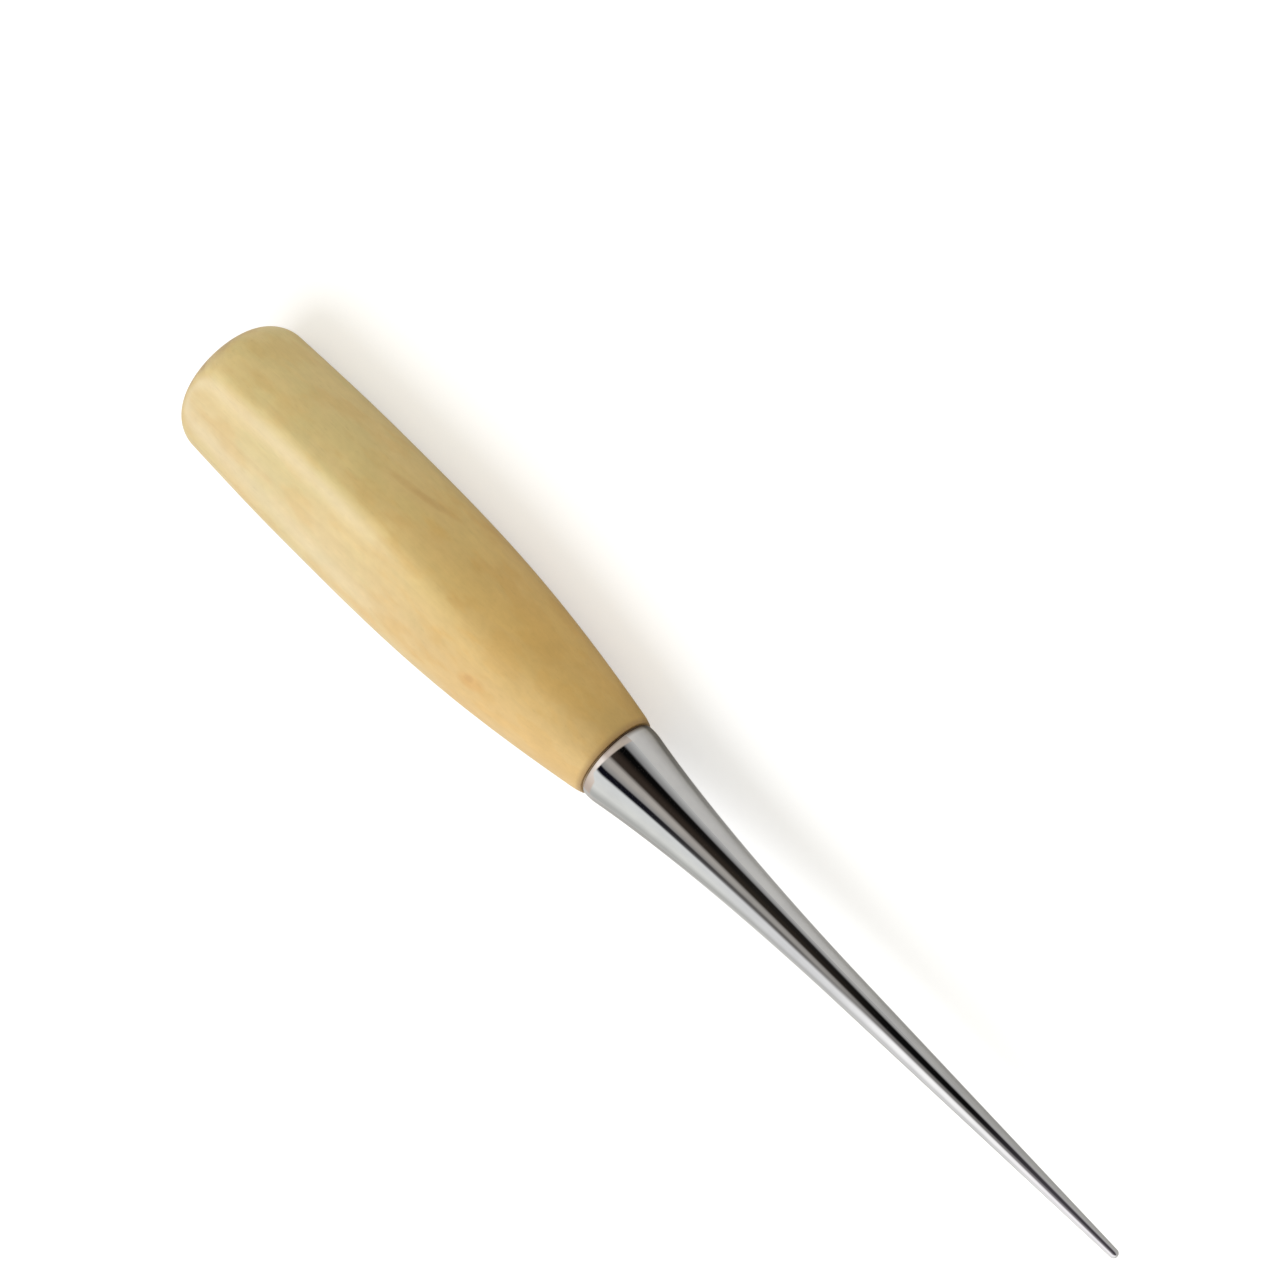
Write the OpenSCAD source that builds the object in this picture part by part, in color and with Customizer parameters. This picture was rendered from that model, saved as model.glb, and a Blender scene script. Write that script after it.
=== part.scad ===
// Bradawl: a turned hardwood handle with two flats, and a one-piece plated
// steel spike whose tang is bedded in adhesive in the handle's blind bore.
// Millimetres. The tool's axis lies along X with the point towards +X, and the
// tool lies on its lower flat: Z is 0 there, X is 0 half way along the tool.

/* [Handle] */
// Length of the wooden handle, from the crown of the butt to the joint
handle_l = 73.8; // [66:0.1:90]
// Largest diameter of the barrel
belly_d = 20; // [19:0.1:26]
// Distance from the butt at which the barrel reaches its largest diameter
belly_start = 22; // [15:0.5:28]
// Length over which the barrel keeps its largest diameter
belly_l = 2; // [1:0.5:8]
// Diameter where the barrel runs into the rounded edge of the butt
butt_d = 19.2; // [17:0.1:22]
// Slope of the barrel where it runs into the rounded edge of the butt, degrees
butt_angle = 2; // [1:0.5:5]
// Radius of the rounded edge of the butt
butt_edge_r = 4.4; // [2:0.1:5]
// Radius of the shallow dome that closes the butt
butt_dome_r = 19; // [14:0.5:40]
// Diameter of the handle where its end starts to round over towards the joint
nose_d = 12.4; // [10:0.1:14]
// Slope of the handle's outline where its end starts to round over, degrees
nose_angle = 10; // [4:0.5:14]
// Radius by which the end of the handle rounds over
nose_round_r = 6; // [3:0.5:9]
// Slope that the rounded end reaches at the joint, degrees
nose_end_angle = 21.5; // [15:0.5:35]
// Radius of the small edge that the wood ends in at the joint
nose_edge_r = 0.2; // [0.1:0.05:0.5]
// Distance across the two flats that keep the tool from rolling
flat_across = 16.9; // [14.5:0.1:18.5]

/* [Spike] */
// Length of the spike, from its shoulder to the point
spike_l = 85.95; // [65:0.05:110]
// Height by which the wood stands proud of the steel at the joint
seat_step = 0.2; // [0.1:0.05:0.8]
// Radius of the polished crown that rolls the shoulder over into the flare
crown_r = 7; // [4:0.5:12]
// Angle by which the crown turns in again towards the joint, degrees
crown_angle = 5; // [2:0.5:8]
// Radius on the outer edge of the shoulder
seat_edge_r = 0.15; // [0.1:0.05:0.5]
// Slope of the spike's outline where the crown runs into the flare, degrees
seat_angle = 10; // [6:0.5:13]
// Length from the shoulder over which the flare sweeps down to the needle
flare_l = 40; // [30:0.5:50]
// Diameter of the needle where the sweep ends
needle_d = 4.3; // [3.4:0.1:5.2]
// Diameter of the blunt point
tip_d = 1.2; // [0.6:0.1:2]

/* [Tang] */
// Diameter of the tang inside the handle
tang_d = 5; // [4:0.1:6]
// Length of the tang from the shoulder
tang_l = 30; // [24:0.5:40]
// Chamfer on the end of the tang
tang_chamfer = 0.6; // [0.3:0.1:1.2]
// Number of grooves round the tang that the adhesive keys into
groove_count = 3; // [1:1:4]
// Width of one groove
groove_w = 1.5; // [0.8:0.1:2]
// Depth of one groove
groove_depth = 0.35; // [0.2:0.05:0.6]
// Distance from one groove to the next
groove_pitch = 4; // [3:0.5:5]
// Length of the two small flats on the end of the tang that stop it turning
key_l = 8; // [5:0.5:10]
// Distance across these two flats
key_across = 4.2; // [3.4:0.1:4.8]

/* [Adhesive] */
// Gap between tang and bore that the adhesive fills
glue_gap = 0.15; // [0.1:0.05:0.3]
// Thickness of the adhesive between the end of the wood and the shoulder
film_t = 0.25; // [0.1:0.05:0.4]
// Depth of the film's rim below the steel
film_recess = 0.15; // [0.05:0.05:0.4]
// Depth that the bore runs on, empty, past the end of the tang
bore_run = 1.5; // [0.5:0.1:4]
// Included angle of the drill point at the bottom of the bore
drill_angle = 118; // [90:1:140]

/* [Hidden] */

// Facets of a full turn, steps of one curve and steps of one rounded edge
$fn = 96;
curve_steps = 20;
edge_steps = 8;

// Overrun of a cutting solid past the face that it opens
over = 1;

// Colours of the wood, the plated steel and the cured adhesive
wood_colour = [0.88, 0.78, 0.58];
steel_colour = [0.78, 0.79, 0.80];
adhesive_colour = [0.28, 0.17, 0.09];

// Share of a curve's length over which each of its ends keeps its own slope
swell_share = 0.33;
belly_share = 0.36;
nose_share = 0.42;
seat_share = 0.37;
needle_share = 0.12;

// Plain length of the tang between the shoulder and the first groove, as a share of the pitch
groove_lead_share = 1;

total_l = handle_l + film_t + spike_l;
belly_r = belly_d / 2;
butt_r = butt_d / 2;
nose_r = nose_d / 2;
needle_r = needle_d / 2;
tip_r = tip_d / 2;
tang_r = tang_d / 2;
bore_r = tang_r + glue_gap;

// Stations along the tool, measured from the crown of the butt
shoulder_x = handle_l + film_t;
flare_end_x = shoulder_x + flare_l;
tip_ball_x = total_l - tip_r;
tang_end_x = shoulder_x - tang_l;
bore_end_x = tang_end_x - bore_run;

// End of the handle: an arc that rounds it over, and a small edge arc that is
// tangent to it inside
nose_round_centre_r = nose_r - nose_round_r * cos(nose_angle);
nose_round_centre_x = handle_l - nose_edge_r - (nose_round_r - nose_edge_r) * sin(nose_end_angle);
nose_start_x = nose_round_centre_x + nose_round_r * sin(nose_angle);
nose_edge_centre_r = nose_round_centre_r + (nose_round_r - nose_edge_r) * cos(nose_end_angle);
joint_r = nose_round_centre_r + nose_round_r * cos(nose_end_angle);

// Radius of the steel at the joint, and of the adhesive's rim
seat_r = joint_r - seat_step;
film_r = seat_r - film_recess;

// Slope of the straight needle, as a rise over a run
needle_slope = (needle_r - tip_r) / (tip_ball_x - flare_end_x);

// Shoulder: a crown arc, and a small edge arc that is tangent to it inside
crown_centre_r = seat_r - crown_r;
crown_centre_x = shoulder_x + seat_edge_r + (crown_r - seat_edge_r) * sin(crown_angle);
seat_edge_centre_r = crown_centre_r + (crown_r - seat_edge_r) * cos(crown_angle);
flare_r = crown_centre_r + crown_r * cos(seat_angle);
flare_x = crown_centre_x + crown_r * sin(seat_angle);

// Butt edge: an arc that is tangent to the dome inside and to the barrel outside
edge_centre_r = butt_r - butt_edge_r * cos(butt_angle);
dome_angle = asin(edge_centre_r / (butt_dome_r - butt_edge_r));
edge_centre_x = butt_dome_r - (butt_dome_r - butt_edge_r) * cos(dome_angle);
barrel_x = edge_centre_x - butt_edge_r * sin(butt_angle);

// Point at t on the cubic curve from a to d with the control points b and c
function cubic(a, b, c, d, t) =
    pow(1 - t, 3) * a + 3 * pow(1 - t, 2) * t * b + 3 * (1 - t) * pow(t, 2) * c + pow(t, 3) * d;

// Outline points [radius, station] between two ends, each with its own slope and
// the share of the distance over which that slope holds
function sweep(from, from_slope, from_share, to, to_slope, to_share) =
    let (
        run = to[1] - from[1],
        leave = from + from_share * run * [from_slope, 1],
        arrive = to - to_share * run * [to_slope, 1]
    )
    [for (i = [0:curve_steps]) cubic(from, leave, arrive, to, i / curve_steps)];

// Outline points of an arc round a centre, its angles measured from the tool's axis
function arc(centre, r, from, to) =
    [for (i = [0:edge_steps])
        let (a = from + (to - from) * i / edge_steps)
        centre + r * [sin(a), -cos(a)]];

// The butt's dome and its rounded edge
function butt_outline() = concat(
    arc([0, butt_dome_r], butt_dome_r, 0, dome_angle),
    arc([edge_centre_r, edge_centre_x], butt_edge_r, dome_angle, 90 - butt_angle));

// The barrel from the butt's edge over the belly to the rounded end at the joint
function barrel_outline() = concat(
    sweep([butt_r, barrel_x], tan(butt_angle), swell_share,
          [belly_r, belly_start], 0, swell_share),
    sweep([belly_r, belly_start + belly_l], 0, belly_share,
          [nose_r, nose_start_x], -tan(nose_angle), nose_share),
    arc([nose_round_centre_r, nose_round_centre_x],
        nose_round_r, 90 + nose_angle, 90 + nose_end_angle),
    arc([nose_edge_centre_r, handle_l - nose_edge_r],
        nose_edge_r, 90 + nose_end_angle, 180));

// The spike from its shoulder over the crown, the flare and the needle to the round point
function spike_outline() = concat(
    arc([seat_edge_centre_r, shoulder_x + seat_edge_r], seat_edge_r, 0, 90 - crown_angle),
    arc([crown_centre_r, crown_centre_x], crown_r, 90 - crown_angle, 90 + seat_angle),
    sweep([flare_r, flare_x], -tan(seat_angle), seat_share,
          [needle_r, flare_end_x], -needle_slope, needle_share),
    arc([0, tip_ball_x], tip_r, 90, 180));

// Turns an outline of [radius, station] points into a solid along +X
module turned(points) {
    rotate([90, 0, 90]) rotate_extrude() polygon(points);
}

// A round bar along X between two stations
module bar(from, to, r) {
    translate([from, 0, 0]) rotate([0, 90, 0]) cylinder(h = to - from, r = r);
}

// Everything between two planes that lie the given distance apart across Z
module between_flats(from, to, across, r) {
    translate([from, -r, -across / 2]) cube([to - from, 2 * r, across]);
}

// Moves a piece from the butt's frame, on the axis, into the tool's own frame
module place() {
    translate([-total_l / 2, 0, flat_across / 2]) children();
}

// The drilled blind bore, with its drill point
module bore() {
    point_l = bore_r / tan(drill_angle / 2);
    bar(bore_end_x, handle_l + over, bore_r);
    translate([bore_end_x, 0, 0]) rotate([0, -90, 0]) cylinder(h = point_l, r1 = bore_r, r2 = 0);
}

// The tang: a round bar with keying grooves, and two small flats on its end
module tang() {
    difference() {
        turned([
            [0, tang_end_x],
            [tang_r - tang_chamfer, tang_end_x],
            [tang_r, tang_end_x + tang_chamfer],
            [tang_r, shoulder_x + over],
            [0, shoulder_x + over]]);
        for (i = [0:groove_count - 1])
            groove(shoulder_x - (groove_lead_share + i) * groove_pitch - groove_w);
        difference() {
            bar(tang_end_x - over, tang_end_x + key_l, tang_r + over);
            between_flats(tang_end_x - 2 * over, tang_end_x + key_l + over,
                          key_across, tang_r + 2 * over);
        }
    }
}

// The round opening in front of the tang's end, as wide as that end
module tang_mouth() {
    bar(tang_end_x - over, tang_end_x + tang_chamfer, min(tang_r - tang_chamfer, key_across / 2));
}

// The ring that one groove takes out of the tang
module groove(from) {
    difference() {
        bar(from, from + groove_w, tang_r + over);
        bar(from - over, from + groove_w + over, tang_r - groove_depth);
    }
}

// The turned wooden handle
module handle() {
    color(wood_colour) place() difference() {
        intersection() {
            turned(concat(butt_outline(), barrel_outline(), [[0, handle_l]]));
            between_flats(-over, handle_l + over, flat_across, belly_d);
        }
        bore();
    }
}

// The plated steel spike with its tang, one piece
module spike() {
    color(steel_colour) place() union() {
        turned(concat([[0, shoulder_x]], spike_outline()));
        tang();
    }
}

// The cured adhesive: a sleeve round the tang and a thin film at the joint
module adhesive() {
    color(adhesive_colour) place() difference() {
        union() {
            bar(tang_end_x, handle_l, bore_r);
            bar(handle_l, shoulder_x, film_r);
        }
        tang();
        tang_mouth();
    }
}

handle();
spike();
adhesive();
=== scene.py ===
"""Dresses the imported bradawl: a lacquered hardwood handle, a plated steel spike
and the bed of adhesive between them, shown in a plain white studio.

Shapes are worked out in millimetres along the tool's axis, with stations counted
from the crown of the butt, and are written to the meshes in metres in the frame
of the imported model: +X towards the point, +Z out of the upper flat, Z = 0 where
the tool lies. Finishes and the studio read places in that frame, in millimetres.
"""

import logging
import math
from dataclasses import dataclass, field
from enum import Enum
from functools import cached_property
from typing import Any, Callable, Mapping, Optional, Sequence, Union

import bpy
import numpy as np
from mathutils import Matrix, Vector

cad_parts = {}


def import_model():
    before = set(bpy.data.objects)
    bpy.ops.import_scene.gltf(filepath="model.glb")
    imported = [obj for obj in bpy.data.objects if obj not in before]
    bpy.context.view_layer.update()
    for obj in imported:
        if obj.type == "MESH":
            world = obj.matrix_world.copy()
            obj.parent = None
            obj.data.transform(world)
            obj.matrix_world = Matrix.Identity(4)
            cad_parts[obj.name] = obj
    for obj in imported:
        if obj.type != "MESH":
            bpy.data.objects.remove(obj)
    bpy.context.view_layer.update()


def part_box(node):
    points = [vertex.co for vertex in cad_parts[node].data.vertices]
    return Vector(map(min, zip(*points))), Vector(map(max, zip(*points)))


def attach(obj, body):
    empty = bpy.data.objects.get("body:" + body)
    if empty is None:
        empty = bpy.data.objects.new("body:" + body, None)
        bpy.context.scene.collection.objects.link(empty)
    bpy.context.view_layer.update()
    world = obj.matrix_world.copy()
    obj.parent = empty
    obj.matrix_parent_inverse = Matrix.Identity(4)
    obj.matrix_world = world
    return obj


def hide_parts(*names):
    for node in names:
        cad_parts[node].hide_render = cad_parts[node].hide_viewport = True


LOG = logging.getLogger("bradawl")

MM = 0.001
TINY = 1e-6
# Stretch over which the tang's key flats run out, in millimetres.
KEY_RUN = 0.01
BODY = "root"

Span = tuple[float, float]
Triple = tuple[float, float, float]
Colour = Triple
Wave = Triple
Band = tuple[float, float, Colour]
ProfileEnd = tuple[float, float, float, float]
Socket = bpy.types.NodeSocket


class Slot(Enum):
    """The record's material slots."""

    WOOD = "wood"
    STEEL = "plated_steel"
    ADHESIVE = "adhesive"


class Closing(Enum):
    """How the rows of a turned surface close along its profile."""

    POLES = "both ends of the profile stand on the axis"
    LOOP = "the last row joins the first one"


class Blend(Enum):
    """How a tint goes over a colour."""

    COVER = "MIX"
    DARKEN = "MULTIPLY"


@dataclass(frozen=True)
class ToolSizes:
    """Named sizes of the tool in millimetres and degrees, as its solids have them."""

    handle_l: float = 73.8
    belly_d: float = 20.0
    belly_start: float = 22.0
    belly_l: float = 2.0
    butt_d: float = 19.2
    butt_angle: float = 2.0
    butt_edge_r: float = 4.4
    butt_dome_r: float = 19.0
    nose_d: float = 12.4
    nose_angle: float = 10.0
    nose_round_r: float = 6.0
    nose_end_angle: float = 21.5
    nose_edge_r: float = 0.2
    flat_across: float = 16.9
    spike_l: float = 85.95
    seat_step: float = 0.2
    crown_r: float = 7.0
    crown_angle: float = 5.0
    seat_edge_r: float = 0.15
    seat_angle: float = 10.0
    flare_l: float = 40.0
    needle_d: float = 4.3
    tip_d: float = 1.2
    tang_d: float = 5.0
    tang_l: float = 30.0
    tang_chamfer: float = 0.6
    groove_count: int = 3
    groove_w: float = 1.5
    groove_depth: float = 0.35
    groove_pitch: float = 4.0
    key_l: float = 8.0
    key_across: float = 4.2
    glue_gap: float = 0.15
    film_t: float = 0.25
    film_recess: float = 0.15
    bore_run: float = 1.5
    drill_angle: float = 118.0
    swell_share: float = 0.33
    belly_share: float = 0.36
    nose_share: float = 0.42
    seat_share: float = 0.37
    needle_share: float = 0.12

    @property
    def total_l(self) -> float:
        """Overall length of the tool."""
        return self.handle_l + self.film_t + self.spike_l

    @property
    def axis_height(self) -> float:
        """Height of the tool's axis above the surface that it lies on."""
        return self.flat_across / 2

    @property
    def nose_centre_r(self) -> float:
        """Radius at which the rounded end's arc has its centre."""
        return self.nose_d / 2 - self.nose_round_r * math.cos(math.radians(self.nose_angle))

    @property
    def seat_r(self) -> float:
        """Largest radius of the steel at the joint, a step inside the wood's."""
        turn = math.cos(math.radians(self.nose_end_angle))
        return self.nose_centre_r + self.nose_round_r * turn - self.seat_step

    @property
    def face_r(self) -> float:
        """Radius of the wood's flat end face at the joint."""
        turn = math.cos(math.radians(self.nose_end_angle))
        return self.nose_centre_r + (self.nose_round_r - self.nose_edge_r) * turn

    @property
    def tang_r(self) -> float:
        """Radius of the tang."""
        return self.tang_d / 2

    @property
    def bore_r(self) -> float:
        """Radius of the blind bore."""
        return self.tang_r + self.glue_gap

    @property
    def shoulder_x(self) -> float:
        """Station of the spike's shoulder."""
        return self.handle_l + self.film_t

    @property
    def tang_end_x(self) -> float:
        """Station of the end of the tang."""
        return self.shoulder_x - self.tang_l


def sweep(start: ProfileEnd, end: ProfileEnd, steps: int) -> np.ndarray:
    """Works out a smooth outline between two ends that each keep their own slope.

    It is a cubic curve. Its inner control points lie on the end slopes, each
    at its share of the distance along the axis.

    Args:
        start: Radius, station and slope of the first end, and the share of the
            run that keeps the slope.
        end: The same of the last end.
        steps: Number of steps along the curve.

    Returns:
        An array of radius and station, one row a point.
    """
    first, last = np.array(start[:2], float), np.array(end[:2], float)
    run = last[1] - first[1]
    leave = first + start[3] * run * np.array([start[2], 1.0])
    arrive = last - end[3] * run * np.array([end[2], 1.0])
    t = np.linspace(0, 1, steps + 1)[:, None]
    s = 1 - t
    return s**3 * first + 3 * s**2 * t * leave + 3 * s * t**2 * arrive + t**3 * last


def arc(
    centre: Sequence[float], radius: float, start: float, end: float, steps: int
) -> np.ndarray:
    """Works out an outline arc round a centre.

    A point stands at the centre plus the radius times the angle's sine outwards,
    and its cosine back towards the butt.

    Args:
        centre: Radius and station of the arc's centre.
        radius: Radius of the arc.
        start: First angle, in degrees from the tool's axis.
        end: Last angle, in degrees.
        steps: Number of steps along the arc.

    Returns:
        An array of radius and station, one row a point.
    """
    a = np.radians(np.linspace(start, end, steps + 1))[:, None]
    return np.array(centre, float) + radius * np.hstack([np.sin(a), -np.cos(a)])


def straight(points: Sequence[Sequence[float]], steps: int) -> np.ndarray:
    """Divides an outline of straight stretches into equal steps.

    Args:
        points: Corners, each a radius and a station.
        steps: Number of steps in each stretch.

    Returns:
        An array of radius and station, one row a point.
    """
    corners = np.array(points, float)
    at = np.linspace(0, len(corners) - 1, steps * (len(corners) - 1) + 1)
    knots = np.arange(len(corners))
    return np.column_stack([np.interp(at, knots, corners[:, i]) for i in (0, 1)])


def joined(*parts: np.ndarray) -> np.ndarray:
    """Joins outlines end to end and drops the points that repeat.

    Args:
        *parts: The outlines in order.

    Returns:
        An array of radius and station, one row a point.
    """
    path = np.vstack(parts)
    step = np.hypot(*np.diff(path, axis=0).T)
    return path[np.concatenate([[True], step > TINY])]


def ripple(at: np.ndarray, waves: Sequence[Wave]) -> np.ndarray:
    """Works out a ripple between -1 and 1, a sum of sines over the sum of their shares.

    Args:
        at: The places or angles.
        waves: The waves, each a rate, a phase and a share.

    Returns:
        The ripple at each place.
    """
    whole = sum(share for _, _, share in waves)
    return sum(share * np.sin(rate * at + phase) for rate, phase, share in waves) / whole


def round_angles(count: int) -> np.ndarray:
    """Angles of the columns of a turned surface, from +Z towards +Y, in radians."""
    return np.linspace(0, 2 * math.pi, count, endpoint=False)


def turned_mesh(
    name: str,
    sizes: ToolSizes,
    station: np.ndarray,
    radius: np.ndarray,
    closing: Closing,
    crease: float,
) -> bpy.types.Mesh:
    """Makes a closed mesh of a surface that is turned about the tool's axis.

    The point in row i and column j stands at the row's station along X, and off
    the axis by its radius times the sine of the column's angle in Y and the
    cosine in Z.

    Args:
        name: Name of the mesh.
        sizes: Sizes that place the axis in the frame.
        station: Station of each row.
        radius: Radius of each row and column.
        closing: How the rows close.
        crease: Angle in degrees from which an edge is shaded sharp.

    Returns:
        The mesh, in metres, with its faces outwards.
    """
    rows, columns = radius.shape
    angle = round_angles(columns)
    along = np.broadcast_to(station[:, None], radius.shape) - sizes.total_l / 2
    up = radius * np.cos(angle) + sizes.axis_height
    grid = np.stack([along, radius * np.sin(angle), up], axis=-1)
    index = np.arange(rows * columns).reshape(rows, columns)
    if closing is Closing.LOOP:
        index = np.vstack([index, index[:1]])
        points = grid.reshape(-1, 3)
        caps: list[list[int]] = []
    else:
        points = np.vstack([grid[0, :1], grid[1:-1].reshape(-1, 3), grid[-1, :1]])
        index = index[: rows - 2] + 1
        first, last = np.zeros(columns, int), np.full(columns, len(points) - 1)
        first_cap = np.column_stack([first, np.roll(index[0], -1), index[0]])
        last_cap = np.column_stack([last, index[-1], np.roll(index[-1], -1)])
        caps = np.vstack([first_cap, last_cap]).tolist()
    after = np.roll(index, -1, axis=1)
    quads = np.stack([index[:-1], after[:-1], after[1:], index[1:]], axis=-1).reshape(-1, 4)
    a, b, c, d = (points[quads[:, k]] for k in range(4))
    volume = np.einsum("ij,ij->", a, np.cross(b, c) + np.cross(c, d))
    faces = quads.tolist() + caps
    if volume < 0:
        faces = [face[::-1] for face in faces]
    mesh = bpy.data.meshes.new(name)
    mesh.from_pydata((points * MM).tolist(), [], faces)
    mesh.polygons.foreach_set("use_smooth", np.ones(len(faces), bool))
    mesh.set_sharp_from_angle(angle=math.radians(crease))
    mesh.validate()
    mesh.update()
    return mesh


def math_operator(operation: str, swapped: bool = False) -> "Callable[[Signal, Number], Signal]":
    """Makes an operator of the Signal class from a Math node's operation.

    Args:
        operation: The node's operation.
        swapped: Whether the signal comes second, as in 1 - signal.

    Returns:
        The operator.
    """

    def operate(signal: "Signal", other: "Number") -> "Signal":
        """Adds the Math node."""
        pair = (other, signal) if swapped else (signal, other)
        return signal.desk.maths(operation, *pair)

    return operate


@dataclass(frozen=True)
class Signal:
    """A number that runs through a node socket. Arithmetic on it adds Math nodes."""

    desk: "NodeDesk"
    socket: Socket

    __add__ = __radd__ = math_operator("ADD")
    __sub__ = math_operator("SUBTRACT")
    __rsub__ = math_operator("SUBTRACT", swapped=True)
    __mul__ = __rmul__ = math_operator("MULTIPLY")
    __truediv__ = math_operator("DIVIDE")
    __rtruediv__ = math_operator("DIVIDE", swapped=True)
    __pow__ = math_operator("POWER")
    __rpow__ = math_operator("POWER", swapped=True)

    def __neg__(self) -> "Signal":
        """The negative."""
        return self * -1.0

    def __abs__(self) -> "Signal":
        """The size without its sign."""
        return self.desk.maths("ABSOLUTE", self)

    def rise(self, low: float, high: float) -> "Signal":
        """Turns the value into a smooth run from 0 to 1.

        The run is three times the square less twice the cube of how far the value
        is from low to high.

        Args:
            low: Value at which the run is 0.
            high: Value at which it is 1, which may be the lower of the two.

        Returns:
            The run.
        """
        inputs = {"Value": self, "From Min": low, "From Max": high}
        node = self.desk.node("ShaderNodeMapRange", {"interpolation_type": "SMOOTHSTEP"}, inputs)
        return Signal(self.desk, node.outputs["Result"])

    def spread(self, low: float, high: float) -> "Signal":
        """The run from 0 to 1 spread out to run from low to high."""
        return self * (high - low) + low


Number = Union[float, Signal]
Wire = Union[float, Sequence[float], Signal, Socket]


def weighed(signals: Sequence[Signal], shares: Sequence[float]) -> Signal:
    """The sum of signals, each times its share."""
    first, *others = (signal * share for signal, share in zip(signals, shares))
    return sum(others, first)


class NodeDesk:
    """Builds the nodes of one material or world."""

    def __init__(self, tree: bpy.types.NodeTree) -> None:
        """Clears the tree and keeps it."""
        self.tree = tree
        tree.nodes.clear()

    def node(
        self,
        kind: str,
        settings: Optional[Mapping[str, Any]] = None,
        inputs: Optional[Mapping[Union[str, int], Wire]] = None,
    ) -> bpy.types.Node:
        """Adds one node.

        Args:
            kind: The node's type.
            settings: Its properties, set first; "stops" fills a colour ramp.
            inputs: Values or links by socket name or number.

        Returns:
            The node.
        """
        made = self.tree.nodes.new(kind)
        for key, value in (settings or {}).items():
            if key == "stops":
                self._fill_ramp(made.color_ramp, value)
            else:
                setattr(made, key, value)
        for key, value in (inputs or {}).items():
            source = value.socket if isinstance(value, Signal) else value
            if isinstance(source, Socket):
                self.tree.links.new(source, made.inputs[key])
            else:
                made.inputs[key].default_value = source
        return made

    @staticmethod
    def _fill_ramp(ramp: bpy.types.ColorRamp, stops: Sequence[tuple[float, Colour]]) -> None:
        """Gives a colour ramp its stops.

        Args:
            ramp: The ramp.
            stops: Its stops, each a position and a colour.
        """
        while len(ramp.elements) < len(stops):
            ramp.elements.new(1.0)
        for element, (position, colour) in zip(ramp.elements, stops):
            element.position = position
            element.color = (*colour, 1.0)

    def maths(self, operation: str, *operands: Number) -> Signal:
        """The value of one Math node."""
        node = self.node("ShaderNodeMath", {"operation": operation}, dict(enumerate(operands)))
        return Signal(self, node.outputs[0])

    def vector_maths(self, operation: str, *operands: Wire) -> bpy.types.bpy_prop_collection:
        """The outputs of one Vector Math node, its vector and its value."""
        inputs = dict(enumerate(operands))
        return self.node("ShaderNodeVectorMath", {"operation": operation}, inputs).outputs

    def parts(self, vector: Socket) -> list[Signal]:
        """The three parts of a vector."""
        split = self.node("ShaderNodeSeparateXYZ", None, {0: vector})
        return [Signal(self, out) for out in split.outputs]

    @cached_property
    def place(self) -> Socket:
        """The point on the piece in millimetres, as a vector."""
        at = self.node("ShaderNodeTexCoord").outputs["Object"]
        return self.vector_maths("MULTIPLY", at, (1 / MM,) * 3)["Vector"]

    @cached_property
    def xyz(self) -> list[Signal]:
        """The three parts of that point."""
        return self.parts(self.place)

    def rays(self, *kinds: str) -> Signal:
        """Tells some kinds of rays from the others.

        Args:
            *kinds: Names of the light path's outputs.

        Returns:
            1 for rays of these kinds, 0 for others.
        """
        path = self.node("ShaderNodeLightPath").outputs
        first, *others = (Signal(self, path[kind]) for kind in kinds)
        return sum(others, first)

    def mix(self, share: Number, first: Wire, second: Wire, blend: Blend = Blend.COVER) -> Socket:
        """Mixes two colours.

        Args:
            share: Share of the second colour.
            first: The colour at share 0.
            second: The colour at share 1.
            blend: How the second goes over the first.

        Returns:
            The mixed colour.
        """
        colours = [(*c, 1.0) if isinstance(c, tuple) else c for c in (first, second)]
        settings = {"data_type": "RGBA", "blend_type": blend.value, "clamp_factor": True}
        inputs = {0: share, 6: colours[0], 7: colours[1]}
        return self.node("ShaderNodeMix", settings, inputs).outputs[2]

    def grey(self, value: Signal) -> Socket:
        """A grey colour of that brightness."""
        inputs = {0: value, 1: value, 2: value}
        return self.node("ShaderNodeCombineColor", None, inputs).outputs[0]

    def relief(self, height: Signal, depth_mm: float) -> Socket:
        """The normal bent by a relief from 0 to 1 of this depth in millimetres."""
        inputs = {"Height": height, "Distance": depth_mm * MM, "Strength": 1.0}
        return self.node("ShaderNodeBump", None, inputs).outputs["Normal"]

    def shine(self, colour: Socket) -> bpy.types.Node:
        """An Emission shader of strength 1."""
        return self.node("ShaderNodeEmission", None, {"Color": colour, "Strength": 1.0})

    def surface(self, shader: bpy.types.Node) -> None:
        """Ends a material in its surface shader."""
        self.node("ShaderNodeOutputMaterial", None, {"Surface": shader.outputs[0]})


def new_object(name: str, data: bpy.types.ID) -> bpy.types.Object:
    """Puts a mesh, a light or a camera into the scene as a new object.

    Args:
        name: The object's name.
        data: The mesh, light or camera.

    Returns:
        The object.
    """
    made = bpy.data.objects.new(name, data)
    bpy.context.scene.collection.objects.link(made)
    return made


def new_material(name: str) -> tuple[bpy.types.Material, NodeDesk]:
    """Makes an empty node material.

    Args:
        name: The material's name.

    Returns:
        The material and the desk that builds its nodes.
    """
    material = bpy.data.materials.new(name)
    material.use_nodes = True
    return material, NodeDesk(material.node_tree)


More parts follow.
